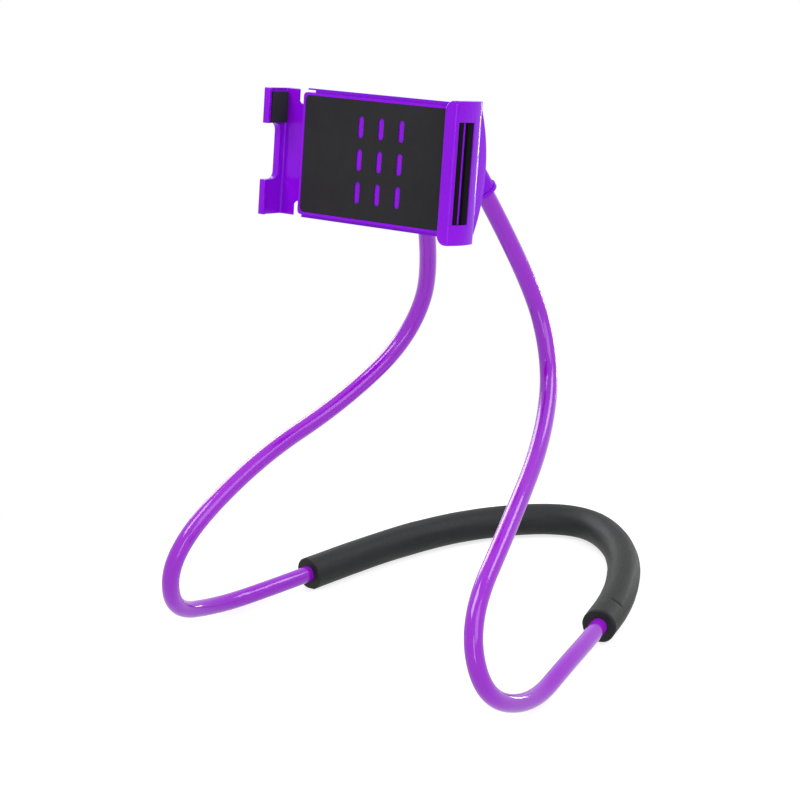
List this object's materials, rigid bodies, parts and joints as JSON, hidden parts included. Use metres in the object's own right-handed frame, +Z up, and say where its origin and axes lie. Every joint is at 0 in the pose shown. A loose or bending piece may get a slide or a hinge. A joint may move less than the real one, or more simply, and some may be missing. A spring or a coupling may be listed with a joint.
{
  "type": "neck phone holder",
  "caption": "Bendable tube loop worn round the neck, with a foam nape pad and a ball joint at its top that carries a sprung sliding clamp for a phone.",
  "frame": {"origin": "on the surface that the foam pad lies on, under the middle of the object", "axes": "+Z up, the clamp faces -Y, +X to the side of the fixed jaw"},
  "size_m": [0.1584, 0.2086, 0.2212],
  "materials": {
    "purple_plastic": "gloss moulded plastic",
    "purple_tube": "gloss soft sleeve",
    "black_foam": "matte closed-cell foam",
    "black_rubber": "matte",
    "white_nylon": "matte",
    "steel": "bright steel",
    "aluminium": "plain"
  },
  "bodies": {
    "frame": {"neck_tube": "purple_tube", "foam_pad": "black_foam", "hub_body": "purple_plastic", "hub_cap": "purple_plastic", "hub_set_screws": "steel", "tube_ferrules": "aluminium", "ball_stud": "steel", "stud_washer": "steel", "stud_nut": "steel"},
    "seat_rear": {"ball_seat_rear": "white_nylon"},
    "seat_front": {"ball_seat_front": "white_nylon"},
    "clamp": {"clamp_tray": "purple_plastic", "clamp_cover": "purple_plastic", "cover_screws": "steel", "grip_mat": "black_rubber", "fixed_jaw_pad": "black_rubber", "return_spring": "steel"},
    "nut": {"lock_nut": "purple_plastic"},
    "slide": {"slide_jaw": "purple_plastic", "slide_jaw_pad": "black_rubber"}
  },
  "joints": [
    {"name": "clamp_pan", "type": "hinge", "parent": "frame", "child": "seat_rear", "pos_m": [0, -0.03596, 0.19236], "axis": [0, 0, 1], "range_deg": [-25, 25]},
    {"name": "clamp_tilt", "type": "hinge", "parent": "seat_rear", "child": "seat_front", "pos_m": [0, -0.03596, 0.19236], "axis": [1, 0, 0], "range_deg": [-25, 25]},
    {"name": "clamp_swivel", "type": "hinge", "parent": "seat_front", "child": "clamp", "pos_m": [0, -0.03596, 0.19236], "axis": [0, 0.9925, -0.1219], "continuous": true},
    {"name": "jaw_slide", "type": "slide", "parent": "clamp", "child": "slide", "axis": [-1, 0, 0], "range_m": [0, 0.03], "stiffness_N_per_m": 150, "springref_m": -0.02, "deforming": ["return_spring"]},
    {"name": "nut_turn", "type": "hinge", "parent": "clamp", "child": "nut", "pos_m": [0, -0.03596, 0.19236], "axis": [0, 0.9925, -0.1219], "range_deg": [0, 120]}
  ]
}
